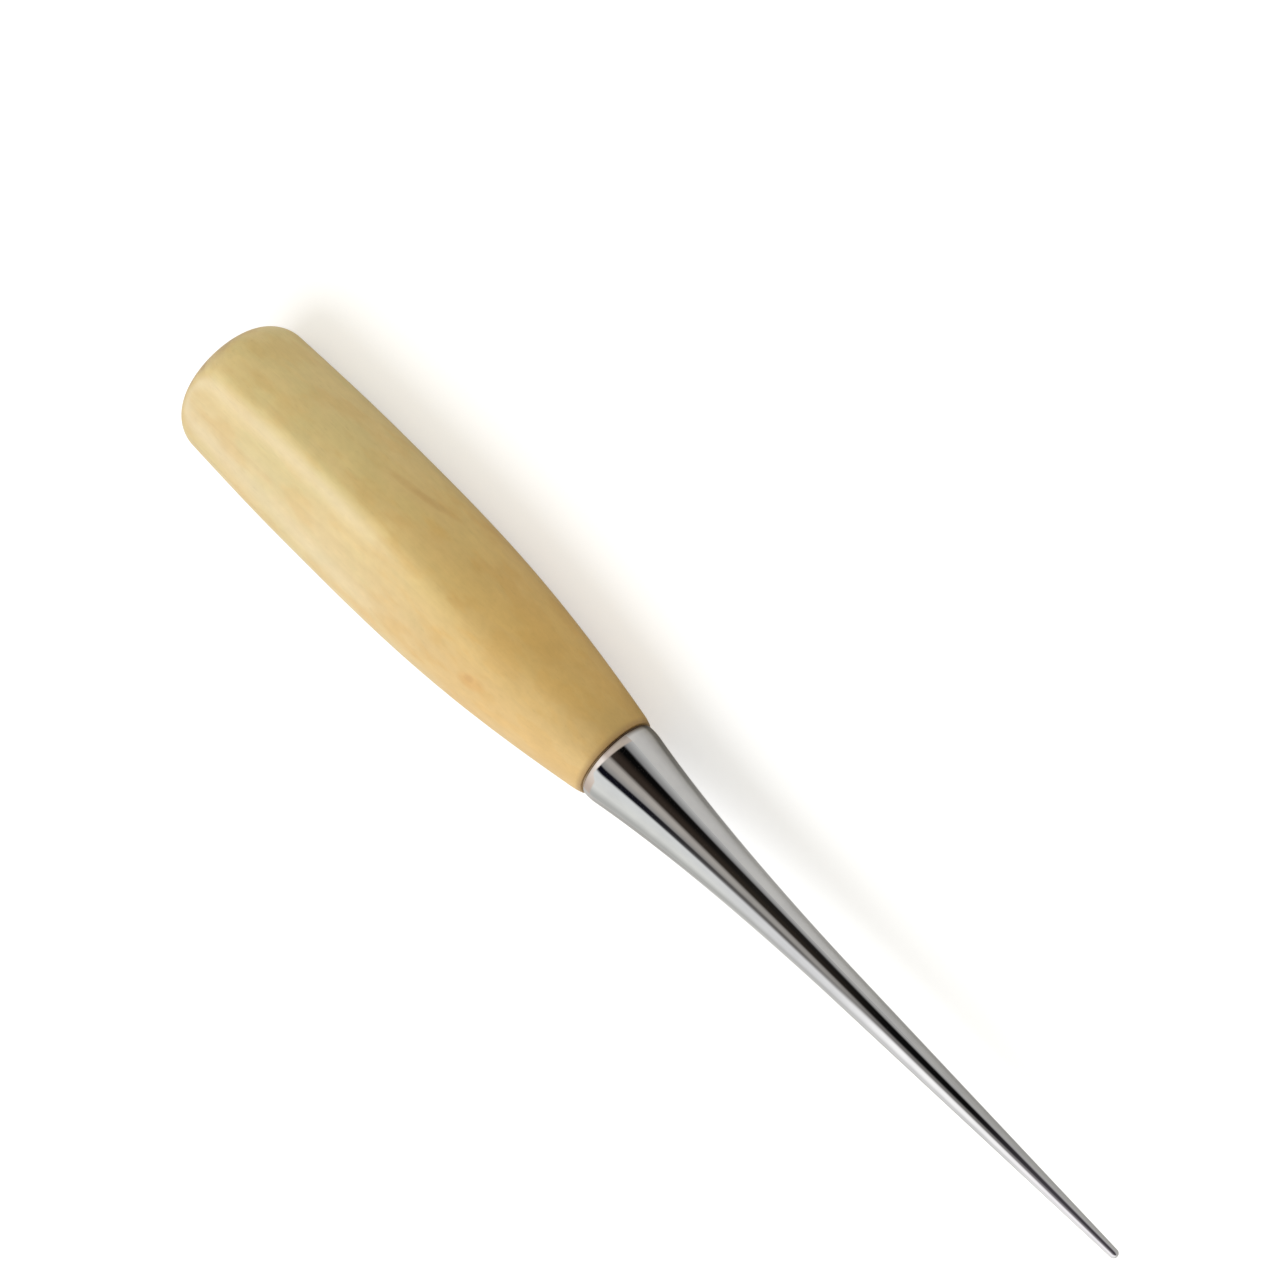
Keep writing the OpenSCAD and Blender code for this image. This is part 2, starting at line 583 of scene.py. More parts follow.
@dataclass(frozen=True)
class Noise:
    """Smooth noise between 0 and 1.

    Attributes:
        size: Size of its cells along X, Y and Z, in millimetres.
        detail: Number of finer layers.
        roughness: Share of each finer layer.
        shift: Offset that keeps it apart from another noise of the same size.
        distortion: How far it bends itself.
        limits: Values that are drawn apart to 0 and 1; none leaves it as it is.
    """

    size: Triple
    detail: float = 2.0
    roughness: float = 0.5
    shift: Triple = (0.0, 0.0, 0.0)
    distortion: float = 0.0
    limits: Optional[Span] = None

    def over(self, desk: NodeDesk) -> Signal:
        """Lays the noise over a surface.

        Args:
            desk: Desk of the surface's material.

        Returns:
            The noise's value.
        """
        scale = tuple(1 / s for s in self.size)
        inputs = {"Vector": desk.place, "Location": self.shift, "Scale": scale}
        inputs = {
            "Vector": desk.node("ShaderNodeMapping", None, inputs).outputs[0],
            "Scale": 1.0,
            "Detail": self.detail,
            "Roughness": self.roughness,
            "Distortion": self.distortion,
        }
        made = Signal(desk, desk.node("ShaderNodeTexNoise", None, inputs).outputs[0])
        return made.rise(*self.limits) if self.limits else made


@dataclass(frozen=True)
class Region:
    """A soft-edged region of a surface, bounded along X and Y.

    Attributes:
        along: Places along X between which it comes in; none for all of X.
        across: The same along Y.
        strength: Its share where it is full.
    """

    along: Optional[Span] = None
    across: Optional[Span] = None
    strength: float = 1.0

    def mask(self, desk: NodeDesk) -> Signal:
        """The region's share over a surface."""
        spans = zip(desk.xyz, (self.along, self.across))
        return math.prod((at.rise(*span) for at, span in spans if span), start=self.strength)


@dataclass(frozen=True)
class Tint(Region):
    """A region that takes a colour.

    Attributes:
        colour: The colour.
        blend: How it goes over what is there.
    """

    colour: Colour = (1.0, 1.0, 1.0)
    blend: Blend = Blend.COVER

    def over(self, desk: NodeDesk, colour: Wire) -> Socket:
        """That colour with the tint over it."""
        return desk.mix(self.mask(desk), colour, self.colour, self.blend)


@dataclass(frozen=True)
class Streak:
    """A soft mark in the wood that runs along the grain.

    Attributes:
        centre: Its middle, in millimetres in the frame.
        heading: The way that it runs; need not have length 1.
        length: Half its length, in millimetres.
        width: Half its width, in millimetres.
        strength: Share of the mark's colour in its middle.
        colour: The mark's colour.
    """

    centre: Triple
    heading: Triple
    length: float
    width: float
    strength: float
    colour: Colour

    def over(self, desk: NodeDesk, colour: Wire) -> Socket:
        """Puts the mark over a colour.

        It falls smoothly from the middle with the distance along the heading over
        the length, and the distance across it over the width.

        Args:
            desk: The material's desk.
            colour: The colour.

        Returns:
            The marked colour.
        """
        heading = tuple(Vector(self.heading).normalized())
        away = desk.vector_maths("SUBTRACT", desk.place, self.centre)["Vector"]
        run, reach = (
            Signal(desk, desk.vector_maths("DOT_PRODUCT", away, other)["Value"])
            for other in (heading, away)
        )
        run = run * run
        reach = run / self.length**2 + (reach - run) / self.width**2
        return desk.mix(reach.rise(1.0, 0.0) * self.strength, colour, self.colour)


@dataclass(frozen=True)
class Finish:
    """What a piece is made of and how it looks.

    A span holds the places in millimetres or the noise values between which a
    part comes in, or the part's least and most value. Shares stand in the order
    of the signals that they weigh.

    Attributes:
        name: The material's name.
    """

    name: str

    def dress(self, desk: NodeDesk) -> dict[str, Wire]:
        """The inputs of the finish's Principled shader."""
        raise NotImplementedError

    def material(self) -> bpy.types.Material:
        """Builds the finish's material.

        Returns:
            The material.
        """
        material, desk = new_material(self.name)
        desk.surface(desk.node("ShaderNodeBsdfPrincipled", None, self.dress(desk)))
        return material


@dataclass(frozen=True)
class WoodFinish(Finish):
    """Pale close-grained hardwood under a satin clear lacquer."""

    name: str = "lacquered_hardwood"
    # Growth rings round the pith, a line that leans a little with each millimetre of X.
    pith: Span = (-46.0, 4.0)
    pith_lean: Span = (0.035, 0.02)
    wander: Noise = Noise((38.0, 9.0, 9.0), 3.0, 0.5, (3.1, 7.7, 1.9))
    ring_pitch: float = 2.3
    ring_wander: float = 1.6
    ring_rise: Span = (0.35, 0.88)
    ring_fall: Span = (1.0, 0.93)
    ring_curl: Span = (0.3, 0.7)
    ring_depth: Span = (0.05, 0.15)
    late: Colour = (0.66, 0.46, 0.22)
    # Fine grain.
    fibre: Noise = Noise((8.0, 0.24, 0.24), 4.0, 0.6, (1.3, 0.0, 5.0), 0.4)
    silk: Noise = Noise((3.0, 0.09, 0.09), 2.0, 0.5, (9.0, 2.0, 4.0))
    curl: Noise = Noise((5.0, 3.5, 3.5), 3.0, 0.55, (0.7, 4.0, 8.0), 0.6)
    mottle: Noise = Noise((1.3, 0.9, 0.9), 2.0, 0.5, (6.0, 3.0, 7.0))
    pore: Noise = Noise((1.6, 0.13, 0.13), 1.0, 0.5, (4.0, 4.0, 0.5), limits=(0.66, 0.74))
    speck: Noise = Noise((2.0, 0.32, 0.32), 2.0, 0.6, (8.0, 5.0, 1.5), limits=(0.50, 0.66))
    tone: float = 0.78
    tone_shares: tuple[float, ...] = (0.10, 0.06, 0.17, 0.12, -0.07)
    relief_depth: float = 0.012
    relief_shares: tuple[float, ...] = (0.6, 0.2, 0.2, -0.5)
    # Broad tones, from pale at the butt to warm towards the nose, with painted shade and painted
    # light laid over some sides and ends.
    pale: Colour = (0.84, 0.675, 0.392)
    cool: Colour = (0.77, 0.655, 0.37)
    patch: Noise = Noise((9.0, 4.0, 4.0), 3.0, 0.5, (5.0, 1.0, 2.0), limits=(0.40, 0.62))
    patch_share: float = 0.7
    warm: Colour = (0.772, 0.525, 0.225)
    cloud: Noise = Noise((7.0, 3.0, 3.0), 3.0, 0.5, (2.0, 8.0, 6.0), limits=(0.45, 0.65))
    warm_shares: Span = (0.35, 0.85)
    forward: Span = (-66.0, -20.0)
    forward_side: Span = (7.5, 4.5)
    forward_power: Span = (1.0, 1.8)
    # Painted shade: the +Y side, the shaded side, is darkened and deepened.
    painted_shade_side: Tint = Tint(None, (-4.0, 9.0), 1.0, (0.97, 0.95, 0.75), Blend.DARKEN)
    # Painted shade: the +Y side darker and more amber towards the nose.
    painted_shade_nose: Tint = Tint((-62.0, -6.0), (3.0, 7.0), 1.0, (0.95, 0.91, 0.78), Blend.DARKEN)
    # Darker on the -Y side towards the butt.
    butt_minus_y_darkening: Tint = Tint((-44.0, -60.0), (-2.5, -5.0), 0.7, (0.93, 0.90, 0.80), Blend.DARKEN)
    # Painted light at the butt: the shaded +Y side lighter and the lit -Y side darker.
    butt: Span = (-60.0, -76.0)
    butt_painted_light_across: Span = (0.0, 7.0)
    butt_painted_light: Span = (-0.03, 0.04)
    # Painted shade: the +Y side darker over the last millimetres before the joint.
    nose: Region = Region((-14.0, -6.2), (0.0, 3.0), 0.13)
    # Painted shade: a dark brown band on the wood's rolled edge at the joint.
    joint_painted_shade: Tint = Tint((-7.1, -6.2), None, 0.6, (0.30, 0.17, 0.07))
    # Painted highlight: a pale band beside a flat's edge that stands in for the lacquer's sheen
    # there, which the handle's mesh carries.
    ridge_name: str = "ridge"
    ridge_sheen_share: float = 0.5
    painted_sheen: Colour = (0.93, 0.80, 0.56)
    # End grain on the butt, where the surface turns back along X.
    end_turn: Span = (0.45, 1.0)
    end_from: Span = (-60.0, -70.0)
    end_share: float = 0.75
    end_grain: Colour = (0.64, 0.45, 0.225)
    end_rings: Colour = (0.34, 0.20, 0.085)
    end_shares: tuple[float, ...] = (0.42, 0.30, 0.22)
    # The lacquer.
    roughness: float = 0.42
    rough_shares: Span = (0.14, 0.1)
    specular: float = 0.35
    coat: float = 0.25
    coat_roughness: float = 0.28
    # The curved dark streak and the small knot.
    streaks: tuple[Streak, ...] = (
        Streak((-46.4, 9.5, 11.2), (8.5, 0.25, -1.3), 5.4, 0.80, 0.22, (0.56, 0.31, 0.08)),
        Streak((-43.0, 9.7, 10.4), (7.0, 0.1, -1.9), 4.8, 0.75, 0.24, (0.54, 0.30, 0.08)),
        Streak((-44.4, 9.6, 10.8), (8.5, 0.25, -1.3), 8.0, 2.4, 0.10, (0.60, 0.38, 0.14)),
        Streak((-24.2, -1.1, 16.9), (1.0, 0.25, 0.0), 2.7, 1.3, 0.40, (0.74, 0.40, 0.13)),
        Streak((-24.7, -0.9, 16.9), (1.0, 0.25, 0.0), 1.0, 0.7, 0.30, (0.56, 0.31, 0.12)),
    )

    def rings(self, desk: NodeDesk) -> Signal:
        """Growth rings: 1 in the dark late wood of each ring, 0 in its early wood.

        A ring is a cylinder round the pith, a line beside the blank that leans a
        little. The distance from the pith wanders by a slow noise, and its place
        in the ring pitch gives a slow rise and a quick fall.

        Args:
            desk: The material's desk.

        Returns:
            The late wood.
        """
        x, y, z = desk.xyz
        off_y = y - self.pith[0] - x * self.pith_lean[0]
        off_z = z - self.pith[1] - x * self.pith_lean[1]
        away = desk.maths("SQRT", off_y * off_y + off_z * off_z)
        away = away + self.wander.over(desk) * self.ring_wander
        phase = desk.maths("FRACT", away / self.ring_pitch)
        return phase.rise(*self.ring_rise) * phase.rise(*self.ring_fall)

    def broad_tones(self, desk: NodeDesk, late: Signal) -> Socket:
        """Works out the wood's colour without its fine grain.

        Args:
            desk: The material's desk.
            late: Share of late wood in the colour.

        Returns:
            The colour.
        """
        x, y, _ = desk.xyz
        colour = desk.mix(self.patch.over(desk) * self.patch_share, self.pale, self.cool)
        power = y.rise(*self.forward_side).spread(*self.forward_power)
        warm = (self.cloud.over(desk), x.rise(*self.forward) ** power)
        colour = desk.mix(weighed(warm, self.warm_shares), colour, self.warm)
        # The +Y side takes its painted shade before the late wood goes over it.
        colour = desk.mix(late, self.painted_shade_side.over(desk, colour), self.late)
        ridge = desk.node("ShaderNodeAttribute", {"attribute_name": self.ridge_name})
        ridge = Signal(desk, ridge.outputs["Fac"])
        # Painted highlight along the flats' ridges.
        colour = desk.mix(ridge * self.ridge_sheen_share, colour, self.painted_sheen)
        for mark in (self.painted_shade_nose, self.butt_minus_y_darkening, *self.streaks):
            colour = mark.over(desk, colour)
        return colour

    def dress(self, desk: NodeDesk) -> dict[str, Wire]:
        """Works out the lacquered wood.

        Args:
            desk: The material's desk.

        Returns:
            The inputs of its Principled shader.
        """
        x, y, _ = desk.xyz
        rings = self.rings(desk)
        grains = (self.fibre, self.silk, self.curl, self.mottle, self.pore, self.speck)
        fibre, silk, curl, mottle, pores, speck = (noise.over(desk) for noise in grains)
        late = rings * curl.rise(*self.ring_curl).spread(*self.ring_depth)
        colour = self.broad_tones(desk, late)
        tone = weighed((fibre, silk, curl, mottle, pores), self.tone_shares) + self.tone
        # Painted light at the butt, and painted shade before the joint on the +Y side, scale the
        # grain's tone.
        butt = x.rise(*self.butt) * y.rise(*self.butt_painted_light_across).spread(*self.butt_painted_light)
        tone = tone * (butt + 1.0) * (1.0 - self.nose.mask(desk))
        colour = desk.mix(1.0, colour, desk.grey(tone), Blend.DARKEN)
        along, _, _ = desk.parts(desk.node("ShaderNodeNewGeometry").outputs["Normal"])
        end = abs(along).rise(*self.end_turn) * x.rise(*self.end_from)
        colour = desk.mix(end * self.end_share, colour, self.end_grain)
        fine = weighed((rings, pores, speck), self.end_shares)
        colour = desk.mix(end * fine, colour, self.end_rings)
        relief = weighed((fibre, silk, rings, pores), self.relief_shares)
        return {
            "Base Color": self.joint_painted_shade.over(desk, colour),
            "Roughness": weighed((fibre, pores), self.rough_shares) + self.roughness,
            "Normal": desk.relief(relief, self.relief_depth),
            "Specular IOR Level": self.specular,
            "Coat Weight": self.coat,
            "Coat Roughness": self.coat_roughness,
        }


@dataclass(frozen=True)
class SteelFinish(Finish):
    """Bright plated steel, polished, with a trace of adhesive beside the joint that is laid on
    darker towards the +Y side as painted shade.
    """

    name: str = "bright_plated_steel"
    plain: Colour = (0.615, 0.61, 0.61)
    clouded: Colour = (0.575, 0.57, 0.575)
    clouding: Span = (0.35, 0.75)
    buffing: Noise = Noise((0.10, 2.2, 2.2), 3.0, 0.6, (2.0, 0.0, 1.0))
    haze: Noise = Noise((4.0, 2.0, 2.0), 3.0, 0.6, (7.0, 3.0, 2.0))
    hairline: Noise = Noise((9.0, 0.05, 0.05), 1.0, 0.5, (1.0, 6.0, 3.0), limits=(0.72, 0.78))
    swell: Noise = Noise((2.4, 1.2, 1.2), 1.0, 0.5, (5.0, 5.0, 1.0))
    roughness: float = 0.045
    hazing: Span = (0.4, 0.8)
    rough_shares: tuple[float, ...] = (0.035, 0.025, 0.08)
    relief_depth: float = 0.0015
    relief_shares: Span = (0.9, 0.1)
    # A trace of adhesive beside the joint; its darkening on the shaded +Y side is painted shade.
    stain_and_shade: Colour = (0.10, 0.07, 0.04)
    trace: Span = (-5.50, -6.00)
    trace_shaded_side: Span = (2.0, 3.8)
    trace_lit_to_shaded: Span = (0.2, 0.8)
    smear_and_shade: Region = Region((-5.15, -5.95), (4.4, 5.6), 0.95)

    def dress(self, desk: NodeDesk) -> dict[str, Wire]:
        """Works out the steel, a mirror with the fine marks of its polishing.

        Args:
            desk: The material's desk.

        Returns:
            The inputs of its Principled shader.
        """
        x, y, _ = desk.xyz
        marks = (self.buffing, self.haze, self.hairline, self.swell)
        buffing, haze, scratch, swell = (noise.over(desk) for noise in marks)
        # Painted shade: the trace grows darker on the +Y side.
        trace = x.rise(*self.trace) * y.rise(*self.trace_shaded_side).spread(*self.trace_lit_to_shaded)
        stain_and_shade = desk.maths("MAXIMUM", trace, self.smear_and_shade.mask(desk))
        colour = desk.mix(haze.rise(*self.clouding), self.plain, self.clouded)
        polish = weighed((haze.rise(*self.hazing), buffing, scratch), self.rough_shares)
        relief = weighed((swell, buffing), self.relief_shares)
        return {
            "Base Color": desk.mix(stain_and_shade, colour, self.stain_and_shade),
            "Metallic": 1.0,
            "Roughness": polish + self.roughness,
            "Normal": desk.relief(relief, self.relief_depth),
        }


@dataclass(frozen=True)
class AdhesiveFinish(Finish):
    """Cured dark brown adhesive with trapped bubbles, with painted light: paler towards the lit
    -Y side.
    """

    name: str = "cured_adhesive"
    clear: Colour = (0.085, 0.045, 0.022)
    cloudy: Colour = (0.14, 0.08, 0.04)
    clouding: Span = (0.35, 0.7)
    cloud: Noise = Noise((1.2, 1.2, 1.2), 3.0, 0.6)
    bubble: Noise = Noise((0.16, 0.16, 0.16), 1.0, 0.5, (3.0, 1.0, 2.0), limits=(0.45, 0.7))
    bubble_depth: float = 0.02
    # Painted light: the adhesive paler towards the lit -Y side.
    paler_towards_lit_side: Tint = Tint(None, (3.8, 2.2), 1.0, (0.27, 0.18, 0.095))
    palest_on_lit_side: Tint = Tint(None, (0.5, -3.5), 1.0, (0.50, 0.40, 0.29))
    roughness: Span = (0.3, 0.5)

    def dress(self, desk: NodeDesk) -> dict[str, Wire]:
        """Works out the adhesive.

        Args:
            desk: The material's desk.

        Returns:
            The inputs of its Principled shader.
        """
        cloud, bubble = self.cloud.over(desk), self.bubble.over(desk)
        colour = desk.mix(cloud.rise(*self.clouding), self.clear, self.cloudy)
        for tint in (self.paler_towards_lit_side, self.palest_on_lit_side):
            colour = tint.over(desk, colour)
        return {
            "Base Color": colour,
            "Roughness": cloud.spread(*self.roughness),
            "Normal": desk.relief(bubble, self.bubble_depth),
        }


@dataclass
class Piece:
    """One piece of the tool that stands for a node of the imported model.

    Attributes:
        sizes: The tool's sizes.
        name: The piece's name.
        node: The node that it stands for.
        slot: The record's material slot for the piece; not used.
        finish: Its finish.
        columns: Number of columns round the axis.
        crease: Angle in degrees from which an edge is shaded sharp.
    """

    sizes: ToolSizes
    name: str
    node: str
    slot: Slot
    finish: Finish
    columns: int = 192
    crease: float = 32.0

    def mesh(self) -> bpy.types.Mesh:
        """The piece's mesh."""
        raise NotImplementedError

    def build(self) -> bpy.types.Object:
        """Makes the piece, dresses it and fixes it to the frame.

        Returns:
            The piece's object.
        """
        mesh = self.mesh()
        mesh.materials.append(self.finish.material())
        piece = new_object(self.name, mesh)
        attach(piece, BODY)
        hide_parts(self.node)
        low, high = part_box(self.node)
        points = np.zeros(len(mesh.vertices) * 3, np.float32)
        mesh.vertices.foreach_get("co", points)
        points = points.reshape(-1, 3)
        off = float(np.abs([points.min(0) - low, points.max(0) - high]).max()) / MM
        faces = len(mesh.polygons)
        LOG.info("%s: %d faces, off its node's box by %.3f mm", self.name, faces, off)
        return piece


@dataclass
class Handle(Piece):
    """The turned wooden handle with its two flats and its blind bore.

    Attributes:
        ridge_soft: Width in radius over which a flat's edge is rounded.
        flat_depth: How far the hand-sanded flats wander, in millimetres.
        flat_waves: The waves of that wander along the axis.
        sheen_in: Distance from the ridge of the painted highlight, a pale band that stands in for
            the lacquer's sheen, in millimetres.
        sheen_w: Half its width.
        sheen_full: Half width of the flat from which the band is full.
        sheen_fade: Stations between which it fades.
        butt_steps: Steps along the butt's dome and its rounded edge.
        barrel_steps: Steps along the swell behind the belly and the taper before it.
        round_steps: Steps along each arc at the joint.
        bore_steps: Steps along each stretch of the bore.
    """

    name: str = "turned_handle"
    node: str = "handle"
    slot: Slot = Slot.WOOD
    finish: WoodFinish = WoodFinish()
    columns: int = 240
    ridge_soft: float = 0.80
    flat_depth: float = 0.03
    flat_waves: tuple[Wave, ...] = ((1 / 7.3, 0.6, 1.0), (1 / 3.1, 2.0, 0.6))
    sheen_in: float = 1.3
    sheen_w: float = 1.3
    sheen_full: float = 3.0
    sheen_fade: Span = (29.0, 43.0)
    butt_steps: tuple[int, int] = (16, 22)
    barrel_steps: tuple[int, int] = (34, 96)
    round_steps: int = 10
    bore_steps: int = 6

    def butt(self) -> np.ndarray:
        """Outline of the butt's dome and its rounded edge.

        The dome's centre lies on the axis, and both arcs end on the line through
        their two centres, so they touch without a corner.

        Returns:
            An array of radius and station, from the crown of the butt outwards.
        """
        s = self.sizes
        centre_r = s.butt_d / 2 - s.butt_edge_r * math.cos(math.radians(s.butt_angle))
        reach = s.butt_dome_r - s.butt_edge_r
        dome_angle = math.asin(centre_r / reach)
        centre_x = s.butt_dome_r - reach * math.cos(dome_angle)
        dome, end = math.degrees(dome_angle), 90 - s.butt_angle
        dome_steps, edge_steps = self.butt_steps
        return joined(
            arc([0, s.butt_dome_r], s.butt_dome_r, 0, dome, dome_steps),
            arc([centre_r, centre_x], s.butt_edge_r, dome, end, edge_steps),
        )

    def barrel(self, start: np.ndarray) -> np.ndarray:
        """Outline of the barrel from the butt's edge to the rounded end at the joint.

        Args:
            start: Last point of the butt.

        Returns:
            The outline.
        """
        s = self.sizes
        swell, lean = (math.tan(math.radians(a)) for a in (s.butt_angle, s.nose_angle))
        belly_r, belly_end = s.belly_d / 2, s.belly_start + s.belly_l
        edge_x = s.handle_l - s.nose_edge_r
        inner_r = s.nose_round_r - s.nose_edge_r
        round_x = edge_x - inner_r * math.sin(math.radians(s.nose_end_angle))
        nose_x = round_x + s.nose_round_r * math.sin(math.radians(s.nose_angle))
        leave, arrive = 90 + s.nose_angle, 90 + s.nose_end_angle
        swell_end = (belly_r, s.belly_start, 0.0, s.swell_share)
        nose_end = (s.nose_d / 2, nose_x, -lean, s.nose_share)
        swell_steps, taper_steps = self.barrel_steps
        return joined(
            sweep((*start, swell, s.swell_share), swell_end, swell_steps),
            sweep((belly_r, belly_end, 0.0, s.belly_share), nose_end, taper_steps),
            arc([s.nose_centre_r, round_x], s.nose_round_r, leave, arrive, self.round_steps),
            arc([s.face_r, edge_x], s.nose_edge_r, arrive, 180, self.round_steps),
        )

    def bore(self) -> np.ndarray:
        """Outline of the end face at the joint, the bore and its drill point.

        Returns:
            An array of radius and station, which ends on the axis.
        """
        s = self.sizes
        bottom = s.tang_end_x - s.bore_run
        point = bottom - s.bore_r / math.tan(math.radians(s.drill_angle / 2))
        mouth, floor = [s.bore_r, s.handle_l], [s.bore_r, bottom]
        return straight([[s.face_r, s.handle_l], mouth, floor, [0, point]], self.bore_steps)

    def with_flats(self, station: np.ndarray, radius: np.ndarray) -> np.ndarray:
        """Cuts the two flats into the turned outline.

        The radius becomes the smaller of the outline's own and the distance to
        the flat at that angle, half the distance across the flats over the
        angle's cosine. Where the two are within the ridge's softness of each
        other, their shortfall squared is taken off, which rounds the edge. The
        ripple, which the lower flat has upside down, only lowers the flats.

        Args:
            station: Station of each row.
            radius: Radius of each row.

        Returns:
            The radius of each row and column.
        """
        turn = np.cos(round_angles(self.columns))
        turned = np.broadcast_to(radius[:, None], (len(radius), self.columns))
        wave = np.where(turn > 0, 1.0, -1.0) * ripple(station, self.flat_waves)[:, None]
        depth = self.sizes.flat_across / 2 + self.flat_depth * (wave - 1) / 2
        flat = depth / np.maximum(np.abs(turn), TINY)
        near = np.maximum(self.ridge_soft - np.abs(turned - flat), 0.0)
        return np.minimum(turned, flat) - near**2 / (4 * self.ridge_soft)

    def painted_sheen(self, station: np.ndarray, radius: np.ndarray) -> np.ndarray:
        """Works out the painted highlight beside the flats' ridges, a pale band that stands in
        for the lacquer's sheen.

        On a flat, a point's distance from the ridge is half the flat's width, the
        root of the radius squared less the flat's distance squared, less the
        point's own distance from the middle, that distance times the tangent of
        its angle. The painted highlight is a bell of that distance about its own
        middle, and it fades towards the end of the flat.

        Args:
            station: Station of each row of the outline.
            radius: Radius of each row.

        Returns:
            The burnish of each row and column, from 0 to 1.
        """
        half = self.sizes.flat_across / 2
        width = np.sqrt(np.maximum(radius**2 - half**2, 0.0))[:, None]
        off = half * np.abs(np.tan(round_angles(self.columns)))
        bell = np.exp(-(((width - off - self.sheen_in) / self.sheen_w) ** 2))
        first, last = self.sheen_fade
        left = np.clip((last - station) / (last - first), 0.0, 1.0)
        return bell * np.clip(width / self.sheen_full, 0.0, 1.0) * left[:, None]

    def mesh(self) -> bpy.types.Mesh:
        """Builds the handle's mesh: its outer rows have the flats, its bore is round.

        Returns:
            The mesh, with the painted highlight as an attribute of its points.
        """
        butt = self.butt()
        outer = joined(butt, self.barrel(butt[-1]))
        inner = self.bore()[1:]
        station = np.concatenate([outer[:, 1], inner[:, 1]])
        shaped = self.with_flats(outer[:, 1], outer[:, 0])
        shaped[0] = 0.0
        radius = np.vstack([shaped, np.repeat(inner[:, :1], self.columns, axis=1)])
        mesh = turned_mesh(self.name, self.sizes, station, radius, Closing.POLES, self.crease)
        sheen_grid = np.zeros_like(radius)
        sheen_grid[: len(outer)] = self.painted_sheen(outer[:, 1], outer[:, 0])
        values = np.concatenate([sheen_grid[0, :1], sheen_grid[1:-1].ravel(), sheen_grid[-1, :1]])
        ridge = mesh.attributes.new(self.finish.ridge_name, "FLOAT", "POINT")
        ridge.data.foreach_set("value", values.astype(np.float32))
        return mesh


def tang_outline(sizes: ToolSizes) -> np.ndarray:
    """Outline of the tang from the shoulder back to its chamfered end.

    Args:
        sizes: The tool's sizes.

    Returns:
        An array of radius and station, from the shoulder towards the butt, which
        ends where the chamfer does.
    """
    s = sizes
    starts = s.shoulder_x - (1 + np.arange(s.groove_count)) * s.groove_pitch
    high, low = s.tang_r, s.tang_r - s.groove_depth
    corners = [[high, s.shoulder_x]]
    for x in starts:
        end = x - s.groove_w
        corners += [[high, x], [low, x], [low, end], [high, end]]
    key_x = s.tang_end_x + s.key_l
    corners += [[high, key_x], [high, key_x - KEY_RUN], [high, s.tang_end_x + s.tang_chamfer]]
    return np.array(corners + [[high - s.tang_chamfer, s.tang_end_x]])


def with_key_flats(
    sizes: ToolSizes, station: np.ndarray, radius: np.ndarray, columns: int
) -> np.ndarray:
    """Cuts the two small key flats into the rows at the end of the tang.

    The radius there becomes the smaller of the row's own and half the distance
    across the key flats over the cosine of the column's angle.

    Args:
        sizes: The tool's sizes.
        station: Station of each row.
        radius: Radius of each row.
        columns: Number of columns.

    Returns:
        The radius of each row and column.
    """
    across = np.maximum(np.abs(np.cos(round_angles(columns))), TINY)
    full = np.repeat(radius[:, None], columns, axis=1)
    cut = np.minimum(full, sizes.key_across / 2 / across)
    keyed = station < sizes.tang_end_x + sizes.key_l - KEY_RUN / 2
    return np.where(keyed[:, None], cut, full)


@dataclass
class Spike(Piece):
    """The plated steel spike: tang, shoulder, crown, flare, needle and point.

    Attributes:
        seat_steps: Steps along the shoulder's edge.
        crown_steps: Steps along the crown.
        flare_steps: Steps along the flare.
        needle_steps: Steps along the needle.
        tip_steps: Steps along the round point.
    """

    name: str = "plated_spike"
    node: str = "spike"
    slot: Slot = Slot.STEEL
    finish: SteelFinish = SteelFinish()
    seat_steps: int = 8
    crown_steps: int = 18
    flare_steps: int = 110
    needle_steps: int = 40
    tip_steps: int = 12

    def outer(self) -> np.ndarray:
        """Outline from the shoulder's edge over crown, flare and needle to the point.

        Returns:
            An array of radius and station, which ends on the axis.
        """
        s = self.sizes
        turn_in, turn_out = math.radians(s.crown_angle), math.radians(s.seat_angle)
        crown_c = s.seat_r - s.crown_r
        inner_r = s.crown_r - s.seat_edge_r
        seat_x = s.shoulder_x + s.seat_edge_r
        crown_x = seat_x + inner_r * math.sin(turn_in)
        seat_c = crown_c + inner_r * math.cos(turn_in)
        flare_r = crown_c + s.crown_r * math.cos(turn_out)
        flare_x = crown_x + s.crown_r * math.sin(turn_out)
        flare_end = s.shoulder_x + s.flare_l
        tip_r, needle_r = s.tip_d / 2, s.needle_d / 2
        tip_x = s.total_l - tip_r
        slope = (needle_r - tip_r) / (tip_x - flare_end)
        start, end = 90 - s.crown_angle, 90 + s.seat_angle
        flare = (flare_r, flare_x, -math.tan(turn_out), s.seat_share)
        needle = (needle_r, flare_end, -slope, s.needle_share)
        return joined(
            arc([seat_c, seat_x], s.seat_edge_r, 0, start, self.seat_steps),
            arc([crown_c, crown_x], s.crown_r, start, end, self.crown_steps),
            sweep(flare, needle, self.flare_steps),
            straight([[needle_r, flare_end], [tip_r, tip_x]], self.needle_steps),
            arc([0, tip_x], tip_r, 90, 180, self.tip_steps),
        )

    def mesh(self) -> bpy.types.Mesh:
        """Builds the spike's mesh, from the end of the tang to the point.

        Returns:
            The mesh.
        """
        s = self.sizes
        path = np.vstack([[[0, s.tang_end_x]], tang_outline(s)[::-1], self.outer()])
        radius = with_key_flats(s, path[:, 1], path[:, 0], self.columns)
        radius[0] = radius[-1] = 0.0
        return turned_mesh(self.name, s, path[:, 1], radius, Closing.POLES, self.crease)


